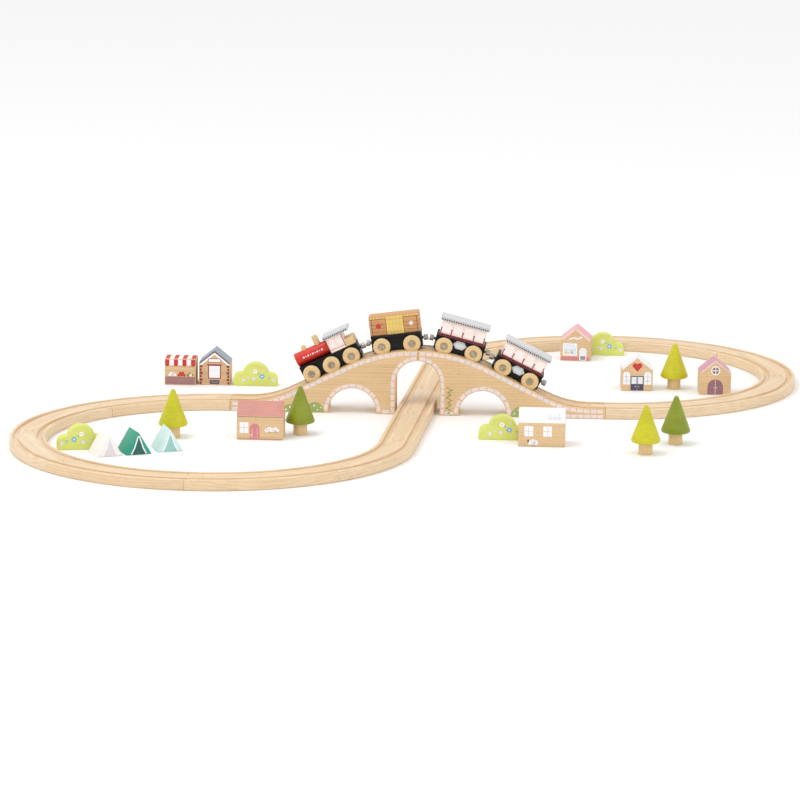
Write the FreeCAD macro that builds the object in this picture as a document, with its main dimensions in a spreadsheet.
# Wooden train set: a figure-of-eight of grooved beech track with an arched bridge at its crossing,
# a four-vehicle train standing on the bridge, and a village of painted blocks around it.
#
# Frame: millimetres, +Z up, floor at Z 0. The origin is on the floor under the middle of the bridge.
# The bridge runs along X, the crossing straights run under it, and the layout looks the same when
# it is turned half a turn about Z.
import FreeCAD, Part
import math
import os
import Sketcher
from FreeCAD import Placement, Rotation, Vector

os.makedirs("parts", exist_ok=True)
doc = FreeCAD.newDocument("wooden_train_set")

X_AXIS, Y_AXIS, Z_AXIS = Vector(1, 0, 0), Vector(0, 1, 0), Vector(0, 0, 1)

# ---------------------------------------------------------------- driving dimensions
DIMENSIONS = [
    # track pieces
    ("track_width", 40), ("track_height", 12), ("curve_radius", 202), ("curve_angle", 45),
    ("groove_centre", 13), ("groove_width", 6), ("groove_depth", 3),
    ("edge_chamfer", 1), ("groove_chamfer", 0.5),
    ("joint_gap", 0.3), ("joint_play", 0.4876),
    ("peg_radius", 5.8), ("peg_neck", 6), ("peg_reach", 12.5), ("peg_clearance", 0.5),
    # bridge
    ("crest_height", 75.1), ("crest_radius", 182), ("slope_angle", 26), ("dip_radius", 111),
    ("main_arch_radius", 25.5), ("arch_cover", 12),
    ("side_arch_radius", 27.6), ("side_arch_centre", 75), ("side_arch_spring", 2),
    ("crest_peg_rise", 2), ("crest_peg_cover", 1),
    # wheels and axles
    ("wheel_radius", 10), ("wheel_width", 4.8), ("hub_radius", 4.6), ("hub_depth", 2),
    ("axle_radius", 1.5), ("axle_running_gap", 0.08), ("axle_head_radius", 2.9),
    ("axle_head_thickness", 1), ("side_gap", 0.4), ("wheel_ride_gap", 0.2),
    # couplers
    ("coupler_radius", 3.4), ("coupler_length", 7), ("coupler_height", 3.6), ("magnet_radius", 2.7),
    ("magnet_length", 2.4), ("shank_radius", 1.6), ("shank_length", 6), ("coupler_gap", 0.5),
    # locomotive
    ("train_start", 122.5), ("loco_axle_spacing", 25.3), ("loco_length", 72.5), ("loco_set_back", 0.5),
    ("keel_bottom", 5.5), ("wheel_cover_gap", 0.6), ("loco_deck_thickness", 1.4),
    ("boiler_radius", 7.9), ("boiler_length", 42), ("boiler_overhang", 0.4),
    ("chimney_radius", 3.6), ("chimney_height", 11), ("chimney_share", 0.72),
    ("dome_radius", 3), ("dome_height", 5), ("dome_share", 0.32),
    ("cab_length", 20), ("cab_width", 24), ("cab_height", 17.5), ("roof_thickness", 4),
    ("loco_roof_length", 32), ("loco_roof_set_back", 3), ("roof_width", 29),
    ("bunker_length", 10.8), ("bunker_height", 9),
    # wagons and coaches
    ("wagon_length", 58), ("wagon_axle_share", 0.6), ("wagon_width", 28), ("wagon_deck_thickness", 2.2),
    ("wagon_box_width", 23), ("wagon_box_height", 22.5), ("coach_body_length", 52.6),
    ("coach_body_width", 25), ("coach_body_height", 16.5),
    # village blocks
    ("house_width", 37), ("house_eaves", 27), ("house_ridge", 42), ("house_depth", 30),
    ("cottage_length", 52), ("cottage_ridge", 42),
    ("stall_height", 31.5), ("stall_depth", 26),
    ("tent_width", 30), ("tent_height", 25), ("tent_depth", 34),
    ("bush_thickness", 14), ("bush_dome_radius", 16), ("bush_dome_height", 11.5),
    ("bush_lobe_radius", 8.5), ("bush_lobe_offset", 17.8), ("bush_lobe_height", 7),
    ("crown_radius", 16.5), ("crown_height", 42), ("crown_tip", 3), ("crown_round", 3),
    ("trunk_radius", 7.8), ("trunk_height", 13), ("trunk_dowel_radius", 3), ("trunk_dowel", 10),
]

sheet = doc.addObject("Spreadsheet::Sheet", "Sizes")
for row, (alias, number) in enumerate(DIMENSIONS, start=1):
    sheet.set(f"A{row}", str(number))
    sheet.setAlias(f"A{row}", alias)
doc.recompute()


class Size:
    """A number from the sheet, or worked out from it, together with the expression that gives it."""

    def __init__(self, value, text):
        self.value, self.text = value, text

    def __float__(self):
        return float(self.value)

    def __neg__(self):
        return Size(-self.value, f"(-{self.text})")

    def __add__(self, other):
        return Size(self.value + float(other), f"({self.text} + {text_of(other)})")

    def __sub__(self, other):
        return Size(self.value - float(other), f"({self.text} - {text_of(other)})")

    def __mul__(self, other):
        return Size(self.value * float(other), f"({self.text} * {text_of(other)})")

    def __truediv__(self, other):
        return Size(self.value / float(other), f"({self.text} / {text_of(other)})")


def text_of(number):
    return number.text if isinstance(number, Size) else str(float(number))


def size(alias):
    return Size(float(sheet.get(alias)), f"Sizes.{alias}")


# ---------------------------------------------------------------- modelling helpers
def bind(thing, **sizes):
    """Sets properties of an object, by expression where the value comes from the sheet."""
    for name, number in sizes.items():
        if isinstance(number, Size):
            thing.setExpression(name, number.text)
        else:
            setattr(thing, name, number)
    return thing


def move(thing, at=(0, 0, 0), turn=None):
    """Turns an object about its own origin and puts that origin at a place given in sizes."""
    thing.Placement = Placement(Vector(*[float(number) for number in at]), turn or Rotation())
    for axis, number in zip("xyz", at):
        if isinstance(number, Size):
            thing.setExpression(f"Placement.Base.{axis}", number.text)
    return thing


def box(long, wide, high, at=(0, 0, 0)):
    """A block whose middle in X and Y, and whose underside, are at the given place."""
    block = bind(doc.addObject("Part::Box", "Block"), Length=long, Width=wide, Height=high)
    corner = [as_size(at[0]) - as_size(long) / 2, as_size(at[1]) - as_size(wide) / 2, at[2]]
    return move(block, corner)


def as_size(number):
    return number if isinstance(number, Size) else Size(float(number), str(float(number)))


def rod(radius, long, at=(0, 0, 0), along="Z"):
    """A cylinder that starts at a place and runs along an axis."""
    turns = {"X": Rotation(Y_AXIS, 90), "Y": Rotation(X_AXIS, -90), "Z": Rotation()}
    cylinder = bind(doc.addObject("Part::Cylinder", "Rod"), Radius=radius, Height=long)
    return move(cylinder, at, turns[along])


def cross_rod(radius, long, x, z):
    """A cylinder across the object, centred on Y 0."""
    return rod(radius, long, (x, -(as_size(long) / 2), z), "Y")


def cut(base, *tools):
    result = doc.addObject("Part::Cut", "Cut")
    result.Base = base
    result.Tool = tools[0] if len(tools) == 1 else fuse(*tools)
    return result


def fuse(*pieces):
    result = doc.addObject("Part::MultiFuse", "Fusion")
    result.Shapes = list(pieces)
    return result


def group(*pieces):
    """Several separate solids kept as one sub-part."""
    result = doc.addObject("Part::Compound", "Group")
    result.Links = list(pieces)
    return result


def across(piece):
    """The same piece on the other side of the object."""
    result = doc.addObject("Part::Mirroring", "Across")
    result.Source = piece
    result.Base, result.Normal = Vector(0, 0, 0), Y_AXIS
    return result


def outline(corners, lift=Rotation(X_AXIS, 90)):
    """A closed sketch of straight lines. Every corner is held by two dimensions from the sheet."""
    sketch = doc.addObject("Sketcher::SketchObject", "Outline")
    sketch.Placement = Placement(Vector(), lift)
    places = [Vector(float(sideways), float(up), 0) for sideways, up in corners]
    for number, place in enumerate(places):
        after = places[(number + 1) % len(places)]
        sketch.addGeometry(Part.LineSegment(place, after), False)
    for number, corner in enumerate(corners):
        following = (number + 1) % len(corners)
        sketch.addConstraint(Sketcher.Constraint("Coincident", number, 2, following, 1))
        for kind, axis, distance in (("DistanceX", -2, corner[0]), ("DistanceY", -1, corner[1])):
            if float(distance) == 0:
                sketch.addConstraint(Sketcher.Constraint("PointOnObject", number, 1, axis))
                continue
            index = sketch.addConstraint(
                Sketcher.Constraint(kind, -1, 1, number, 1, float(distance)))
            sketch.setExpression(f"Constraints[{index}]", text_of(distance))
    return sketch


def lathe(profile, axis, angle=360):
    """A solid turned from half a section about an axis through the origin."""
    solid = doc.addObject("Part::Revolution", "Turned")
    solid.Source, solid.Axis, solid.Base = profile, axis, Vector()
    solid.Solid = True
    return bind(solid, Angle=angle)


def slab(profile, thickness, direction=Y_AXIS):
    """A flat piece cut from board: an outline given a thickness."""
    solid = doc.addObject("Part::Extrusion", "Slab")
    solid.Base, solid.DirMode, solid.Dir, solid.Solid = profile, "Custom", direction, True
    solid.Symmetric = True
    return bind(solid, LengthFwd=thickness)


def place_whole(piece, place):
    """Moves a finished piece. One whose own place is bound to the sheet is moved in a group."""
    if any("Placement" in path for path, _ in piece.ExpressionEngine):
        piece = group(piece)
    piece.Placement = place.multiply(piece.Placement)
    return piece


sub_parts = []


def name_sub_part(node, piece, place=None):
    """Gives a finished piece its own name and its place in the layout."""
    piece = place_whole(piece, place or Placement())
    piece.Label = node
    sub_parts.append(piece)


# ---------------------------------------------------------------- grooved track
TRACK_WIDTH, TRACK_HEIGHT = size("track_width"), size("track_height")
GROOVE_CENTRE, GROOVE_WIDTH, GROOVE_DEPTH = (
    size("groove_centre"), size("groove_width"), size("groove_depth"))
JOINT_GAP, PEG_RADIUS, PEG_NECK, PEG_REACH = (
    size("joint_gap"), size("peg_radius"), size("peg_neck"), size("peg_reach"))
PEG_CLEARANCE = size("peg_clearance")


def track_section(centre):
    """The cross-section of every flat track piece: two wheel grooves and broken edges."""
    half, top = TRACK_WIDTH / 2, TRACK_HEIGHT
    edge, lip = size("edge_chamfer"), size("groove_chamfer")
    outer, inner = GROOVE_CENTRE + GROOVE_WIDTH / 2, GROOVE_CENTRE - GROOVE_WIDTH / 2
    right = [(half - edge, 0), (half, edge), (half, top - edge), (half - edge, top),
             (outer + lip, top), (outer, top - lip), (outer, top - GROOVE_DEPTH),
             (inner, top - GROOVE_DEPTH), (inner, top - lip), (inner - lip, top)]
    left = [(-offset, up) for offset, up in reversed(right)]
    return outline([(as_size(centre) + offset, up) for offset, up in right + left])


def peg(high):
    """A keyhole peg that points along +Y from a joint on the X axis."""
    head = rod(PEG_RADIUS, high, (0, PEG_REACH, 0))
    neck = box(PEG_NECK, PEG_REACH, high, (0, PEG_REACH / 2, 0))
    return fuse(head, neck)


def socket(high):
    """The keyhole that takes a peg, open towards -Y, with a little room all round."""
    reach = PEG_REACH - JOINT_GAP
    depth = reach + 1
    head = rod(PEG_RADIUS + PEG_CLEARANCE, high, (0, reach, 0))
    neck = box(PEG_NECK + PEG_CLEARANCE * 2, depth, high, (0, depth / 2 - 1, 0))
    return fuse(head, neck)


curve_section, straight_section = track_section(size("curve_radius")), track_section(0)
curve_radius, curve_angle = float(size("curve_radius")), float(size("curve_angle"))


def curve(peg_at_start):
    """A curve about Z that starts on the X axis. Its peg is at either its start or its end."""
    ring = lathe(curve_section, Z_AXIS, size("curve_angle"))
    start = Placement(Vector(curve_radius, 0, 0), Rotation())
    end_turn = Rotation(Z_AXIS, curve_angle)
    end = Placement(end_turn.multVec(Vector(curve_radius, 0, 0)), end_turn)
    about = Placement(Vector(), Rotation(Z_AXIS, 180))
    tongue, hole = peg(TRACK_HEIGHT), socket(TRACK_HEIGHT)
    tongue.Placement = start.multiply(about) if peg_at_start else end
    hole.Placement = end.multiply(about) if peg_at_start else start
    return fuse(cut(ring, hole), tongue)


def straight(long):
    """A straight along +Y, centred on the origin, with its socket at the near end."""
    bar = slab(straight_section, long)
    hole = move(socket(TRACK_HEIGHT), (0, -(long / 2), 0))
    tongue = move(peg(TRACK_HEIGHT), (0, long / 2, 0))
    return fuse(cut(bar, hole), tongue)


def loop_walk(curves):
    """Walks round a loop of curves from the bridge end, with the small turn that loose pegs
    allow at each joint. Gives each curve's centre and direction, and where the walk ends."""
    gap, play = float(JOINT_GAP), float(size("joint_play"))
    place, heading, walked = Vector(0, 0, 0), 180.0, []
    for _ in range(curves):
        forward = Rotation(Z_AXIS, heading).multVec(X_AXIS)
        place = place + forward * gap
        heading -= play
        to_centre = Rotation(Z_AXIS, heading + 90).multVec(X_AXIS)
        centre = place + to_centre * curve_radius
        walked.append((centre, heading - 90))
        heading += curve_angle
        place = centre - Rotation(Z_AXIS, heading + 90).multVec(X_AXIS) * curve_radius
    place = place + Rotation(Z_AXIS, heading).multVec(X_AXIS) * gap
    return walked, place, heading - play


# Six curves turn the loop three quarters round. The line through their open end then has to pass
# through the origin, which settles how long the bridge and the crossing are.
CURVES_IN_LOOP, CROSSING_STRAIGHTS = 6, 3
loop, loop_end, crossing_heading = loop_walk(CURVES_IN_LOOP)
bridge_half = loop_end.x - loop_end.y / math.tan(math.radians(crossing_heading))
crossing_start = Vector(loop_end.x - bridge_half, loop_end.y, 0)
crossing_length = 2 * crossing_start.Length - 2 * float(JOINT_GAP)
straight_length = (crossing_length - (CROSSING_STRAIGHTS - 1) * float(JOINT_GAP)) / CROSSING_STRAIGHTS
half_turn = Placement(Vector(), Rotation(Z_AXIS, 180))

for number, (centre, direction) in enumerate(loop, start=1):
    place = Placement(centre - Vector(bridge_half, 0, 0), Rotation(Z_AXIS, direction))
    name_sub_part(f"left_curve_{number}", curve(peg_at_start=False), place)
    name_sub_part(f"right_curve_{number}", curve(peg_at_start=True), half_turn.multiply(place))

along_crossing = Rotation(Z_AXIS, crossing_heading - 90)
for number in range(CROSSING_STRAIGHTS):
    offset = (number - (CROSSING_STRAIGHTS - 1) / 2) * (straight_length + float(JOINT_GAP))
    place = Placement(along_crossing.multVec(Vector(0, offset, 0)), along_crossing)
    name_sub_part(f"crossing_straight_{number + 1}", straight(as_size(straight_length)), place)


# ---------------------------------------------------------------- bridge
crest_height, crest_radius = float(size("crest_height")), float(size("crest_radius"))
dip_radius, slope = float(size("dip_radius")), math.radians(float(size("slope_angle")))
deck_end_height = float(TRACK_HEIGHT)
crest_centre = crest_height - crest_radius
crest_end = crest_radius * math.sin(slope)
slope_drop = (crest_centre + crest_radius * math.cos(slope)
              - deck_end_height - dip_radius * (1 - math.cos(slope)))
dip_start = crest_end + slope_drop / math.tan(slope)
dip_end = dip_start + dip_radius * math.sin(slope)


def on_crest(angle, lift):
    return Vector((crest_radius + lift) * math.sin(angle), 0,
                  crest_centre + (crest_radius + lift) * math.cos(angle))


def on_dip(angle, lift):
    return Vector(dip_end - (dip_radius - lift) * math.sin(angle), 0,
                  deck_end_height + dip_radius - (dip_radius - lift) * math.cos(angle))


def deck_line(lift, start_x):
    """The line of the running surface from the crest to the end of the bridge, raised by lift:
    a rounded crest, a straight slope, a hollow foot and a short level end."""
    first = math.asin(start_x / (crest_radius + lift))
    level = Vector(bridge_half, 0, deck_end_height + lift)
    return [Part.Arc(on_crest(first, lift), on_crest((first + slope) / 2, lift),
                     on_crest(slope, lift)).toShape(),
            Part.makeLine(on_crest(slope, lift), on_dip(slope, lift)),
            Part.Arc(on_dip(slope, lift), on_dip(slope / 2, lift), on_dip(0, lift)).toShape(),
            Part.makeLine(on_dip(0, lift), level)]


def deck_board(name, lift, limit, start_x):
    """The area between a deck line and a level limit below or above it."""
    line = deck_line(lift, start_x)
    first, last = line[0].Vertexes[0].Point, line[-1].Vertexes[-1].Point
    corners = [last, Vector(last.x, 0, limit), Vector(first.x, 0, limit), first]
    sides = [Part.makeLine(a, b) for a, b in zip(corners, corners[1:])]
    board = doc.addObject("Part::Feature", name)
    board.Shape = Part.Face(Part.Wire(line + sides))
    return board


def bridge_side(peg_at_crest):
    """One half of the bridge, on the +X side. A peg at its crest end means a socket at its foot,
    and the other half is the other way round."""
    seam = float(JOINT_GAP) / 2
    body = slab(deck_board("bridge_outline", 0, 0, seam), TRACK_WIDTH)
    above = crest_height + float(TRACK_HEIGHT)
    groove = slab(deck_board("groove_outline", -float(GROOVE_DEPTH), above, seam), GROOVE_WIDTH)
    grooves = [move(groove, (0, GROOVE_CENTRE, 0)),
               move(slab(groove.Base, GROOVE_WIDTH), (0, -GROOVE_CENTRE, 0))]

    arch, side_arch = size("main_arch_radius"), size("side_arch_radius")
    crown, spring = size("crest_height") - size("arch_cover"), size("side_arch_spring")
    centre, wide = size("side_arch_centre"), TRACK_WIDTH * 2
    arches = [cross_rod(arch, wide, 0, crown - arch),
              box(arch * 2, wide, crown - arch, (0, 0, 0)),
              cross_rod(side_arch, wide, centre, spring),
              box(side_arch * 2, wide, spring, (centre, 0, 0))]

    joint_height, foot_turn = size("arch_cover"), Rotation(Z_AXIS, 90)
    if peg_at_crest:
        peg_height = joint_height - size("crest_peg_rise") - size("crest_peg_cover")
        tongue = move(peg(peg_height), (seam, 0, crown + size("crest_peg_rise")), foot_turn)
        hole = move(socket(TRACK_HEIGHT), (bridge_half, 0, 0), foot_turn)
    else:
        tongue = move(peg(TRACK_HEIGHT), (bridge_half, 0, 0), foot_turn.inverted())
        hole = move(socket(joint_height * 3), (seam, 0, crown - joint_height),
                    foot_turn.inverted())
    return fuse(cut(body, *grooves, *arches, hole), tongue)


name_sub_part("bridge_right", bridge_side(peg_at_crest=True))
name_sub_part("bridge_left", bridge_side(peg_at_crest=False), half_turn)


# ---------------------------------------------------------------- where the vehicles stand
WHEEL_RADIUS, COUPLER_RADIUS = size("wheel_radius"), size("coupler_radius")
axle_lift = float(WHEEL_RADIUS) - float(GROOVE_DEPTH) + float(size("wheel_ride_gap"))


def axle_height(x):
    """How high an axle runs when its wheels stand in the bridge's grooves."""
    reach = abs(x)
    if reach <= on_crest(slope, axle_lift).x:
        return crest_centre + math.sqrt((crest_radius + axle_lift) ** 2 - reach ** 2)
    top, foot = on_crest(slope, axle_lift), on_dip(slope, axle_lift)
    if reach <= foot.x:
        return top.z - (reach - top.x) * math.tan(slope)
    if reach <= dip_end:
        hollow = dip_radius - axle_lift
        return deck_end_height + dip_radius - math.sqrt(hollow ** 2 - (dip_end - reach) ** 2)
    return deck_end_height + axle_lift


def bisect(low, high, too_low):
    for _ in range(60):
        middle = (low + high) / 2
        low, high = (middle, high) if too_low(middle) else (low, middle)
    return (low + high) / 2


def seat(front_x, spacing):
    """Stands a vehicle with its front axle at front_x. Its own frame has +X towards its rear,
    +Z up from its axles and its origin midway between its end axles."""
    front = Vector(front_x, 0, axle_height(front_x))
    rear_x = bisect(front_x, front_x + spacing,
                    lambda x: (Vector(x, 0, axle_height(x)) - front).Length < spacing)
    rear = Vector(rear_x, 0, axle_height(rear_x))
    tilt = math.degrees(math.atan2(rear.z - front.z, rear.x - front.x))
    return Placement((front + rear) * 0.5, Rotation(Y_AXIS, -tilt))


def coupler_face(place, end_x):
    """The round face at one end of a seated vehicle, seen from the side as a line."""
    height, radius = float(size("coupler_height")), float(COUPLER_RADIUS)
    foot, top = [place.multVec(Vector(end_x, 0, height + side * radius)) for side in (-1, 1)]
    return Part.makeLine(foot, top)


def seat_behind(place, rear_end, front_end, spacing):
    """Seats the next vehicle so that the two coupler faces all but touch."""
    face, gap = coupler_face(place, rear_end), float(size("coupler_gap"))

    def too_near(front_x):
        other = coupler_face(seat(front_x, spacing), front_end)
        behind = other.BoundBox.Center.x > face.BoundBox.Center.x
        return not behind or face.distToShape(other)[0] < gap

    overhang = -front_end - spacing / 2
    start = place.Base.x + (rear_end + overhang) / 2
    return seat(bisect(start, start + rear_end + spacing, too_near), spacing)


coupler_length = float(size("coupler_length"))
wagon_end = float(size("wagon_length")) / 2 + coupler_length
loco_front = float(size("loco_set_back")) - float(size("loco_length")) / 2
loco_end = loco_front + float(size("loco_length")) + coupler_length
WAGON_SPACING = size("wagon_length") * size("wagon_axle_share")
wagon_spacing = float(WAGON_SPACING)
loco_seat = seat(-float(size("train_start")), 2 * float(size("loco_axle_spacing")))
wagon_seat = seat_behind(loco_seat, loco_end, -wagon_end, wagon_spacing)
front_coach_seat = seat_behind(wagon_seat, wagon_end, -wagon_end, wagon_spacing)
rear_coach_seat = seat_behind(front_coach_seat, wagon_end, -wagon_end, wagon_spacing)

# ---------------------------------------------------------------- wheels, axles and couplers
WHEEL_WIDTH, SIDE_GAP = size("wheel_width"), size("side_gap")
AXLE_RADIUS, HUB_DEPTH = size("axle_radius"), size("hub_depth")
wheel_inside = GROOVE_CENTRE - WHEEL_WIDTH / 2
wheel_outside = GROOVE_CENTRE + WHEEL_WIDTH / 2
keel_width = (wheel_inside - SIDE_GAP) * 2


def wheel_outline():
    """Half a wheel's section: radius along X, place along the axle up the sketch."""
    tread, bore = WHEEL_RADIUS, AXLE_RADIUS + size("axle_running_gap")
    hub, edge = size("hub_radius"), size("groove_chamfer")
    return outline([(bore, wheel_inside), (tread - edge, wheel_inside),
                    (tread, wheel_inside + edge), (tread, wheel_outside - edge * 2),
                    (tread - edge * 2, wheel_outside), (hub, wheel_outside),
                    (hub, wheel_outside - HUB_DEPTH), (bore, wheel_outside - HUB_DEPTH)], Rotation())


def axle_outline():
    """Half an axle's section, from its middle to its round head in the wheel's hub."""
    seat_face = wheel_outside - HUB_DEPTH + SIDE_GAP
    end, head = seat_face + size("axle_head_thickness"), size("axle_head_radius")
    return outline([(0, -end), (head, -end), (head, -seat_face), (AXLE_RADIUS, -seat_face),
                    (AXLE_RADIUS, seat_face), (head, seat_face), (head, end), (0, end)], Rotation())


wheel_profile, axle_profile = wheel_outline(), axle_outline()


def wheel_pair(x):
    wheel = lathe(wheel_profile, Y_AXIS)
    return move(group(wheel, across(wheel)), (x, 0, 0))


def axles(places):
    return group(*[move(lathe(axle_profile, Y_AXIS), (x, 0, 0)) for x in places])


def coupler(end, pointing):
    """A turned steel cup with a round magnet in its mouth, held by a shank in the chassis."""
    radius, shank, reach = COUPLER_RADIUS, size("shank_radius"), size("coupler_length")
    magnet, depth = size("magnet_radius"), size("magnet_length")
    waist = reach - depth * 2
    cup = lathe(outline([(0, -size("shank_length")), (shank, -size("shank_length")), (shank, waist),
                         (radius, waist), (radius, reach), (magnet, reach), (magnet, reach - depth),
                         (0, reach - depth)], Rotation(X_AXIS, 90)), Z_AXIS)
    plug = rod(magnet, depth, (0, 0, reach - depth))
    turn = Rotation(Y_AXIS, 90 * pointing)
    return [move(group(piece), (end, 0, size("coupler_height")), turn) for piece in (cup, plug)]


def shank_hole(end, pointing):
    depth = size("shank_length")
    start = end - depth if pointing > 0 else end
    return rod(size("shank_radius"), depth, (start, 0, size("coupler_height")), "X")


DECK_UNDER = WHEEL_RADIUS + size("wheel_cover_gap")


def chassis(front, rear, deck_thickness, wide, places, coupler_ends):
    """A dark wooden chassis: a keel between the wheels under a wider deck that clears them."""
    long, middle = rear - front, (rear + front) / 2
    keel = box(long, keel_width, DECK_UNDER + size("keel_bottom"), (middle, 0, -size("keel_bottom")))
    deck = box(long, wide, deck_thickness, (middle, 0, DECK_UNDER))
    holes = [cross_rod(AXLE_RADIUS, keel_width * 2, x, 0) for x in places]
    holes += [shank_hole(end, pointing) for end, pointing in coupler_ends]
    return cut(fuse(keel, deck), *holes)


# ---------------------------------------------------------------- locomotive
LOCO_DECK, ROOF = size("loco_deck_thickness"), size("roof_thickness")
CHASSIS_TOP = DECK_UNDER + LOCO_DECK
loco_places = [-size("loco_axle_spacing"), 0, size("loco_axle_spacing")]
front_end = size("loco_set_back") - size("loco_length") / 2
rear_end = front_end + size("loco_length")
boiler_front = front_end - size("boiler_overhang")
boiler_rear = boiler_front + size("boiler_length")
BOILER = size("boiler_radius")
boiler_height = CHASSIS_TOP + BOILER
cab_front, cab_rear = boiler_rear, boiler_rear + size("cab_length")
cab_middle = (cab_front + cab_rear) / 2
cab_top = CHASSIS_TOP + size("cab_height")
bunker_rear = cab_rear + size("bunker_length")

dowels = {"loco_chimney": (size("chimney_radius"), size("chimney_height"), size("chimney_share")),
          "loco_dome": (size("dome_radius"), size("dome_height"), size("dome_share"))}
dowel_foot = boiler_height + BOILER / 2


def boiler():
    """A turned boiler with a flat foot on the chassis and a blind hole for each dowel."""
    barrel = rod(BOILER, size("boiler_length"), (boiler_front, 0, boiler_height), "X")
    holes = [rod(radius, BOILER, (boiler_front + size("boiler_length") * share, 0, dowel_foot))
             for radius, _, share in dowels.values()]
    return cut(barrel, *holes)


def boiler_dowel(radius, height, share):
    """A dowel glued into the top of the boiler, with a domed tip."""
    rise, step = BOILER / 2 + height, radius / 6
    profile = outline([(0, 0), (radius, 0), (radius, rise - step * 3), (radius - step, rise - step),
                       (radius - step * 3, rise), (0, rise)])
    return move(lathe(profile, Z_AXIS),
                (boiler_front + size("boiler_length") * share, 0, dowel_foot))


loco_chassis = chassis(front_end, rear_end, LOCO_DECK, size("cab_width"), loco_places,
                       [(rear_end, 1)])
name_sub_part("loco_chassis", loco_chassis, loco_seat)
name_sub_part("loco_boiler", boiler(), loco_seat)
for node, measures in dowels.items():
    name_sub_part(node, boiler_dowel(*measures), loco_seat)
name_sub_part("loco_cab", box(size("cab_length"), size("cab_width"), size("cab_height"),
                              (cab_middle, 0, CHASSIS_TOP)), loco_seat)
name_sub_part("loco_roof", box(size("loco_roof_length"), size("roof_width"), ROOF,
                               (cab_middle + size("loco_roof_set_back"), 0, cab_top)), loco_seat)
name_sub_part("loco_bunker", box(size("bunker_length"), size("cab_width"), size("bunker_height"),
                                 ((cab_rear + bunker_rear) / 2, 0, CHASSIS_TOP)), loco_seat)
name_sub_part("loco_axles", axles(loco_places), loco_seat)
name_sub_part("loco_coupler", group(*coupler(rear_end, 1)), loco_seat)
for node, x in zip(("front", "middle", "rear"), loco_places):
    name_sub_part(f"loco_{node}_wheels", wheel_pair(x), loco_seat)

# ---------------------------------------------------------------- wagon and coaches
WAGON_WIDTH, WAGON_LENGTH = size("wagon_width"), size("wagon_length")
wagon_places = [-(WAGON_SPACING / 2), WAGON_SPACING / 2]
wagon_top = DECK_UNDER + size("wagon_deck_thickness")
coach_top = wagon_top + size("coach_body_height")
wagon_coupler_ends = [(-(WAGON_LENGTH / 2), -1), (WAGON_LENGTH / 2, 1)]


def running_gear(vehicle, place):
    """What every wagon and coach stands on."""
    name_sub_part(f"{vehicle}_chassis",
                  chassis(-(WAGON_LENGTH / 2), WAGON_LENGTH / 2, size("wagon_deck_thickness"),
                          WAGON_WIDTH, wagon_places, wagon_coupler_ends), place)
    name_sub_part(f"{vehicle}_axles", axles(wagon_places), place)
    pieces = [piece for end in wagon_coupler_ends for piece in coupler(*end)]
    name_sub_part(f"{vehicle}_couplers", group(*pieces), place)
    for node, x in zip(("front", "rear"), wagon_places):
        name_sub_part(f"{vehicle}_{node}_wheels", wheel_pair(x), place)


running_gear("wagon", wagon_seat)
name_sub_part("wagon_box", box(WAGON_LENGTH, size("wagon_box_width"), size("wagon_box_height"),
                               (0, 0, wagon_top)), wagon_seat)
for vehicle, place in (("front_coach", front_coach_seat), ("rear_coach", rear_coach_seat)):
    running_gear(vehicle, place)
    name_sub_part(f"{vehicle}_body", box(size("coach_body_length"), size("coach_body_width"),
                                         size("coach_body_height"), (0, 0, wagon_top)), place)
    name_sub_part(f"{vehicle}_roof", box(WAGON_LENGTH, size("roof_width"), ROOF,
                                         (0, 0, coach_top)), place)

# ---------------------------------------------------------------- village
HOUSE_WIDTH, HOUSE_DEPTH = size("house_width"), size("house_depth")
EAVES, RIDGE = size("house_eaves"), size("house_ridge")


def stand(piece, x, y, turn=0):
    """Stands a block on the floor at a place given in curve radii, so that it keeps clear of the
    track, with its front turned from -Y by an angle."""
    place = Vector(x * curve_radius, y * curve_radius, 0)
    return place_whole(piece, Placement(place, Rotation(Z_AXIS, turn)))


def gable_house():
    """A block with its pointed gable to the front."""
    half = HOUSE_WIDTH / 2
    return slab(outline([(-half, 0), (half, 0), (half, EAVES), (0, RIDGE), (-half, EAVES)]),
                HOUSE_DEPTH)


def cottage():
    """A longer block with its eaves to the front."""
    half, ridge = HOUSE_DEPTH / 2, size("cottage_ridge")
    profile = outline([(-half, 0), (half, 0), (half, EAVES), (0, ridge), (-half, EAVES)])
    block = group(slab(profile, size("cottage_length")))
    block.Placement = Placement(Vector(), Rotation(Z_AXIS, 90))
    return block


def tent():
    half = size("tent_width") / 2
    return slab(outline([(-half, 0), (half, 0), (0, size("tent_height"))]), size("tent_depth"))


def bush():
    """A cloud-shaped block: a dome between two lower lobes, on a flat foot."""
    thick, lobe = size("bush_thickness"), size("bush_lobe_radius")
    offset, lobe_height = size("bush_lobe_offset"), size("bush_lobe_height")
    dome, dome_height = size("bush_dome_radius"), size("bush_dome_height")
    rounds = [cross_rod(dome, thick, 0, dome_height), cross_rod(lobe, thick, -offset, lobe_height),
              cross_rod(lobe, thick, offset, lobe_height)]
    foot = box((offset + lobe) * 2, thick, lobe_height, (0, 0, 0))
    below = box((offset + lobe) * 2, thick * 2, dome, (0, 0, -dome))
    return cut(fuse(*rounds, foot), below)


def crown():
    """A turned cone with a rounded foot and tip, bored for the trunk's dowel."""
    wide, high, tip, edge = (size("crown_radius"), size("crown_height"), size("crown_tip"),
                             size("crown_round"))
    foot, bore = size("trunk_height"), size("trunk_dowel_radius")
    profile = outline([(bore, foot), (wide - edge, foot), (wide - edge / 4, foot + edge / 3),
                       (wide, foot + edge), (tip, foot + high - tip),
                       (tip * 0.7, foot + high - tip / 3), (0, foot + high),
                       (0, foot + size("trunk_dowel")), (bore, foot + size("trunk_dowel"))])
    return lathe(profile, Z_AXIS)


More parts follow.
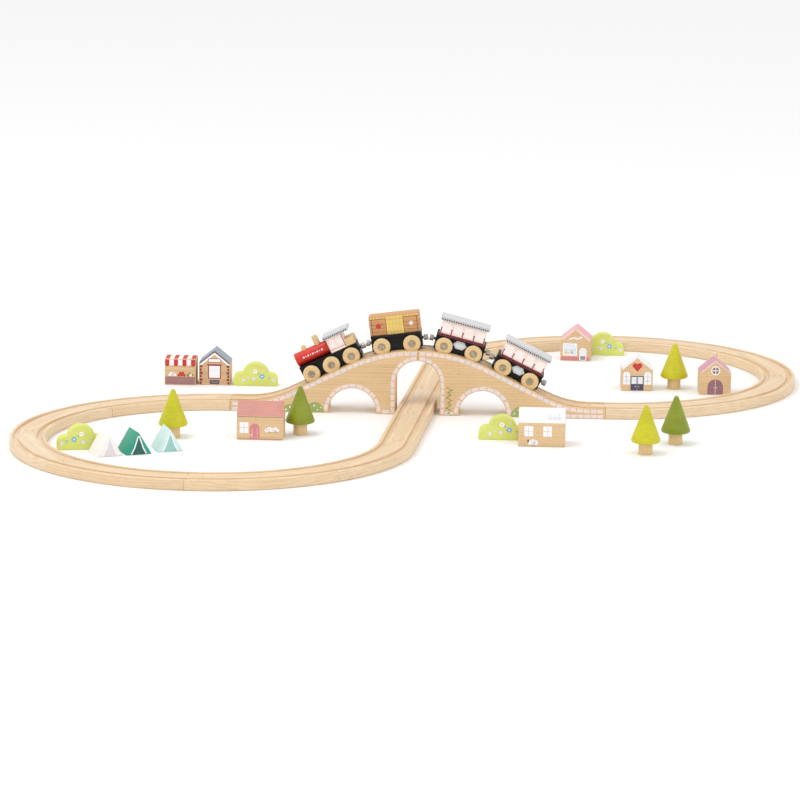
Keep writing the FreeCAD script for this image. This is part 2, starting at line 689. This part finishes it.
def trunk():
    return fuse(rod(size("trunk_radius"), size("trunk_height")),
                rod(size("trunk_dowel_radius"), size("trunk_height") + size("trunk_dowel")))


name_sub_part("market_stall", stand(box(HOUSE_WIDTH, size("stall_depth"), size("stall_height")),
                                    -1.4307, 0.6584))
HOUSES = {"ticket_kiosk": (-1.2302, 0.6881, 0), "corner_shop": (0.8837, 1.6584, -4),
          "hospital": (1.2475, 0.7921, 3), "barn": (1.703, 0.7277, 4)}
for node, place in HOUSES.items():
    name_sub_part(node, stand(gable_house(), *place))
COTTAGES = {"pink_cottage": (-0.8317, -0.7797, 0), "farmhouse": (0.7228, -0.7896, 0)}
for node, place in COTTAGES.items():
    name_sub_part(node, group(stand(cottage(), *place)))

TENT_PLACES = [(-1.6337, -1.2822, 25), (-1.4851, -1.2178, 25), (-1.3168, -1.1238, 20)]
BUSH_PLACES = [(-0.9901, 0.6485, 0), (-1.7822, -1.1683, 14), (1.0446, 1.8119, 0), (0.5, -0.6757, 0)]
TREE_PLACES = [(-1.3153, -0.8267, 0), (1.4693, 0.8218, 0), (1.2921, -0.9752, 0), (-0.6228, -0.6733, 0),
               (1.4584, -0.703, 0)]
for node, piece, places in (("tents", tent, TENT_PLACES), ("bushes", bush, BUSH_PLACES),
                            ("tree_crowns", crown, TREE_PLACES), ("tree_trunks", trunk, TREE_PLACES)):
    name_sub_part(node, group(*[stand(piece(), *place) for place in places]))

# ---------------------------------------------------------------- check and write
doc.recompute()
for item in doc.Objects:
    if "Invalid" in item.State or "Error" in item.State:
        raise RuntimeError(f"{item.Label} did not build: {item.State}")
for piece in sub_parts:
    if piece.Shape.isNull() or not piece.Shape.isValid():
        raise RuntimeError(f"{piece.Label} has no sound shape")
    piece.Shape.exportStep(f"parts/{piece.Label}.step")
print(f"{len(sub_parts)} sub-parts, bridge half {bridge_half:.2f}, straight {straight_length:.2f}")
for node, place in (("loco", loco_seat), ("wagon", wagon_seat), ("front coach", front_coach_seat),
                    ("rear coach", rear_coach_seat)):
    print(node, [round(number, 3) for number in place.Base], round(place.Rotation.Angle, 5))
